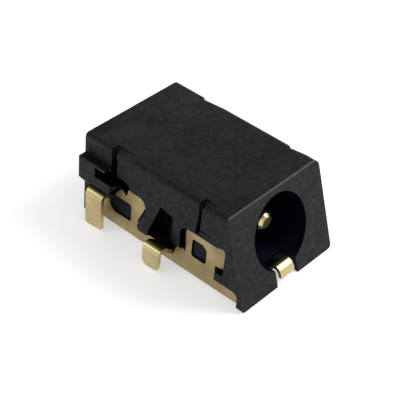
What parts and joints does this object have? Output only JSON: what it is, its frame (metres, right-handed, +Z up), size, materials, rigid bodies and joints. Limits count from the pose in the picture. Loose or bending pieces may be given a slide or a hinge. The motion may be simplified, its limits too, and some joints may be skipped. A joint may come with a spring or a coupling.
{
  "type": "dc barrel jack",
  "caption": "Low surface-mount DC barrel jack: wedge-sided housing with a leaning round mouth, fixed centre pin, sleeve spring and soldered side brackets.",
  "frame": {"origin": "on the board, under the middle of the whole part, feet included", "axes": "+X to the right looking into the mouth, +Y from the mouth into the jack, +Z up from the board"},
  "size_m": [0.0062, 0.0082, 0.0035],
  "materials": {
    "moulding": "fine moulded grain",
    "turned_pin": "turned, gold flash",
    "contact_strip": "stamped strip, pale gold flash",
    "bracket_strip": "stamped strip, pale gold flash"
  },
  "bodies": {
    "root": {"housing": "moulding", "centre_pin": "turned_pin", "pin_terminal": "contact_strip", "sleeve_spring": "contact_strip", "left_bracket": "bracket_strip", "right_bracket": "bracket_strip"}
  },
  "joints": []
}
